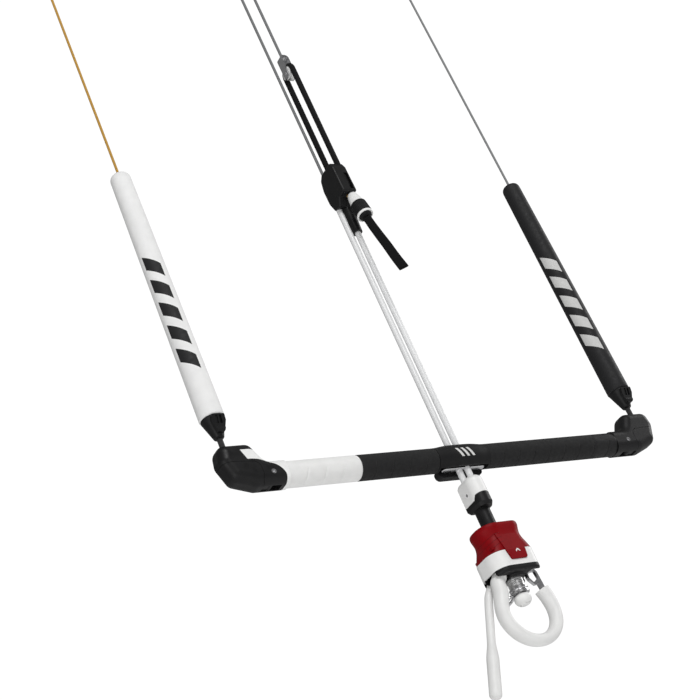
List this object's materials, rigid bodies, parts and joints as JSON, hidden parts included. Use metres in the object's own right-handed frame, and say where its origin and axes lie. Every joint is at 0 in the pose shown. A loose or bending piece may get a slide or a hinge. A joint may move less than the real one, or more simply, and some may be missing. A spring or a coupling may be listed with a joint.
{
  "type": "kitesurf control bar",
  "caption": "Kite control bar: padded bar with fold-out winding ends, floats on its leaders, a depower trim on a pulley and a push-away quick release loop",
  "frame": {"origin": "centre of the harness hook's seat, inside the bottom of the release loop", "axes": "+X along the bar to the rider's right, +Z along the lines towards the kite, -Y towards the front, where the release handle's lobe is"},
  "size_m": [0.5156, 0.0695, 0.9286],
  "materials": {
    "black_plastic": "fine moulded texture, nearly matte",
    "white_plastic": "smooth satin moulding",
    "red_plastic": "satin moulded red",
    "loop_plastic": "moulded over a rope, softly brushed underneath",
    "steel": "polished stainless",
    "spring_steel": "drawn wire",
    "brass": "turned, satin",
    "alloy": "anodised tube",
    "grip_black": "ribbed foam with swept grooves",
    "grip_white": "ribbed foam with swept grooves",
    "float_white": "closed-cell foam, faintly pebbled",
    "float_black": "closed-cell foam, faintly pebbled",
    "tube_plastic": "clear extruded tube over a rope",
    "rope_grey": "tight plait",
    "rope_black": "tight plait",
    "rope_white": "tight plait",
    "line_amber": "thin coated plait",
    "line_grey": "thin plait",
    "webbing": "stitched webbing"
  },
  "bodies": {
    "release_body": {"release_base": "black_plastic", "release_collar": "white_plastic", "stem": "black_plastic", "release_pins": "steel", "leash_spool": "steel", "leash_knob": "white_plastic"},
    "release_handle": {"release_handle": "red_plastic", "handle_bush": "white_plastic", "release_spring": "spring_steel"},
    "latch": {"latch_pawl": "steel"},
    "loop": {"chicken_loop": "loop_plastic", "loop_link": "steel"},
    "finger": {"finger": "loop_plastic"},
    "leash_swivel": {"leash_ring": "steel"},
    "line_head": {"swivel_cap": "white_plastic", "swivel_housing": "black_plastic", "swivel_pin": "steel", "tube_left": "tube_plastic", "tube_right": "tube_plastic", "depower_rope": "rope_grey", "safety_rope": "rope_grey", "trim_housing": "black_plastic", "trim_cleat": "alloy", "trim_eyelet": "brass", "trim_rope": "rope_black", "safety_line": "line_grey", "safety_line_loop": "line_grey"},
    "line_guide": {"guide_bush": "black_plastic", "guide_plate": "steel"},
    "bar": {"hub_body": "black_plastic", "hub_cover": "black_plastic", "bar_fasteners": "steel", "core_tubes": "alloy", "grip_white": "grip_white", "grip_left": "grip_black", "grip_right": "grip_black", "end_left": "black_plastic", "end_right": "black_plastic"},
    "winder_left": {"winder_left": "black_plastic"},
    "winder_right": {"winder_right": "black_plastic"},
    "leader_left": {"leader_rope_left": "rope_grey", "float_plug_left": "black_plastic", "plug_clip_left": "black_plastic", "float_left": "float_white", "steering_line_left": "line_amber", "steering_loop_left": "line_amber"},
    "leader_right": {"leader_rope_right": "rope_grey", "float_plug_right": "black_plastic", "plug_clip_right": "black_plastic", "float_right": "float_black", "steering_line_right": "line_grey", "steering_loop_right": "line_grey"},
    "trim_pulley": {"pulley_strap": "steel", "pulley_axle": "steel", "front_line": "line_grey", "front_line_loop": "line_grey"},
    "pulley_wheel": {"pulley_wheel": "white_plastic"},
    "toggle": {"toggle_cone": "white_plastic", "toggle_band": "white_plastic", "toggle_strap": "webbing"}
  },
  "joints": [
    {"name": "handle_slide", "type": "slide", "parent": "release_body", "child": "release_handle", "axis": [0, 0, 1], "range_m": [0, 0.012], "stiffness_N_per_m": 200, "springref_m": -0.01, "deforming": ["release_spring"]},
    {"name": "latch_hinge", "type": "hinge", "parent": "release_body", "child": "latch", "pos_m": [0.0177, 0.008, 0.08], "axis": [1, 0, 0], "range_deg": [0, 26]},
    {"name": "loop_hinge", "type": "hinge", "parent": "release_body", "child": "loop", "pos_m": [-0.0158, 0, 0.06], "axis": [0, 1, 0], "range_deg": [0, 20]},
    {"name": "finger_flex", "type": "hinge", "parent": "release_body", "child": "finger", "pos_m": [-0.018, 0.0122, 0.0605], "axis": [0, 1, 0], "range_deg": [-7, 6]},
    {"name": "leash_swivel", "type": "hinge", "parent": "release_body", "child": "leash_swivel", "pos_m": [0, 0, 0.044], "axis": [0, 0, 1], "range_deg": [-85, 0]},
    {"name": "line_swivel", "type": "hinge", "parent": "release_body", "child": "line_head", "pos_m": [0, 0, 0.137], "axis": [0, 0, 1], "continuous": true},
    {"name": "bar_slide", "type": "slide", "parent": "line_head", "child": "line_guide", "axis": [0, 0, 1], "range_m": [0, 0.24]},
    {"name": "bar_tilt", "type": "hinge", "parent": "line_guide", "child": "bar", "pos_m": [0, 0, 0.188], "axis": [0, 1, 0], "range_deg": [-12, 12]},
    {"name": "leader_left_hinge", "type": "hinge", "parent": "bar", "child": "leader_left", "pos_m": [-0.245, 0, 0.214], "axis": [0, 1, 0], "range_deg": [-12, 12]},
    {"name": "leader_right_hinge", "type": "hinge", "parent": "bar", "child": "leader_right", "pos_m": [0.245, 0, 0.214], "axis": [0, 1, 0], "range_deg": [-12, 12]},
    {"name": "winder_left_hinge", "type": "hinge", "parent": "bar", "child": "winder_left", "pos_m": [-0.214, 0, 0.1795], "axis": [0, -1, 0], "range_deg": [0, 95]},
    {"name": "winder_right_hinge", "type": "hinge", "parent": "bar", "child": "winder_right", "pos_m": [0.214, 0, 0.1795], "axis": [0, 1, 0], "range_deg": [0, 95]},
    {"name": "trim_slide", "type": "slide", "parent": "line_head", "child": "trim_pulley", "axis": [0, 0, -1], "range_m": [0, 0.06], "deforming": ["trim_rope"]},
    {"name": "sheave_turn", "type": "hinge", "parent": "trim_pulley", "child": "pulley_wheel", "pos_m": [0.0035, -0.01, 0.685], "axis": [1, 0, 0], "range_deg": [0, 405]},
    {"name": "toggle_slide", "type": "slide", "parent": "line_head", "child": "toggle", "axis": [0, -0.179, -0.9838], "range_m": [0, 0.12]}
  ],
  "couplings": [
    {"joint": "latch_hinge", "follows": "handle_slide", "rad_per_m": 37.8},
    {"joint": "leader_left_hinge", "follows": "bar_tilt", "ratio": -1},
    {"joint": "leader_right_hinge", "follows": "bar_tilt", "ratio": -1},
    {"joint": "sheave_turn", "follows": "trim_slide", "rad_per_m": 116.28},
    {"joint": "toggle_slide", "follows": "trim_slide", "ratio": 2}
  ]
}
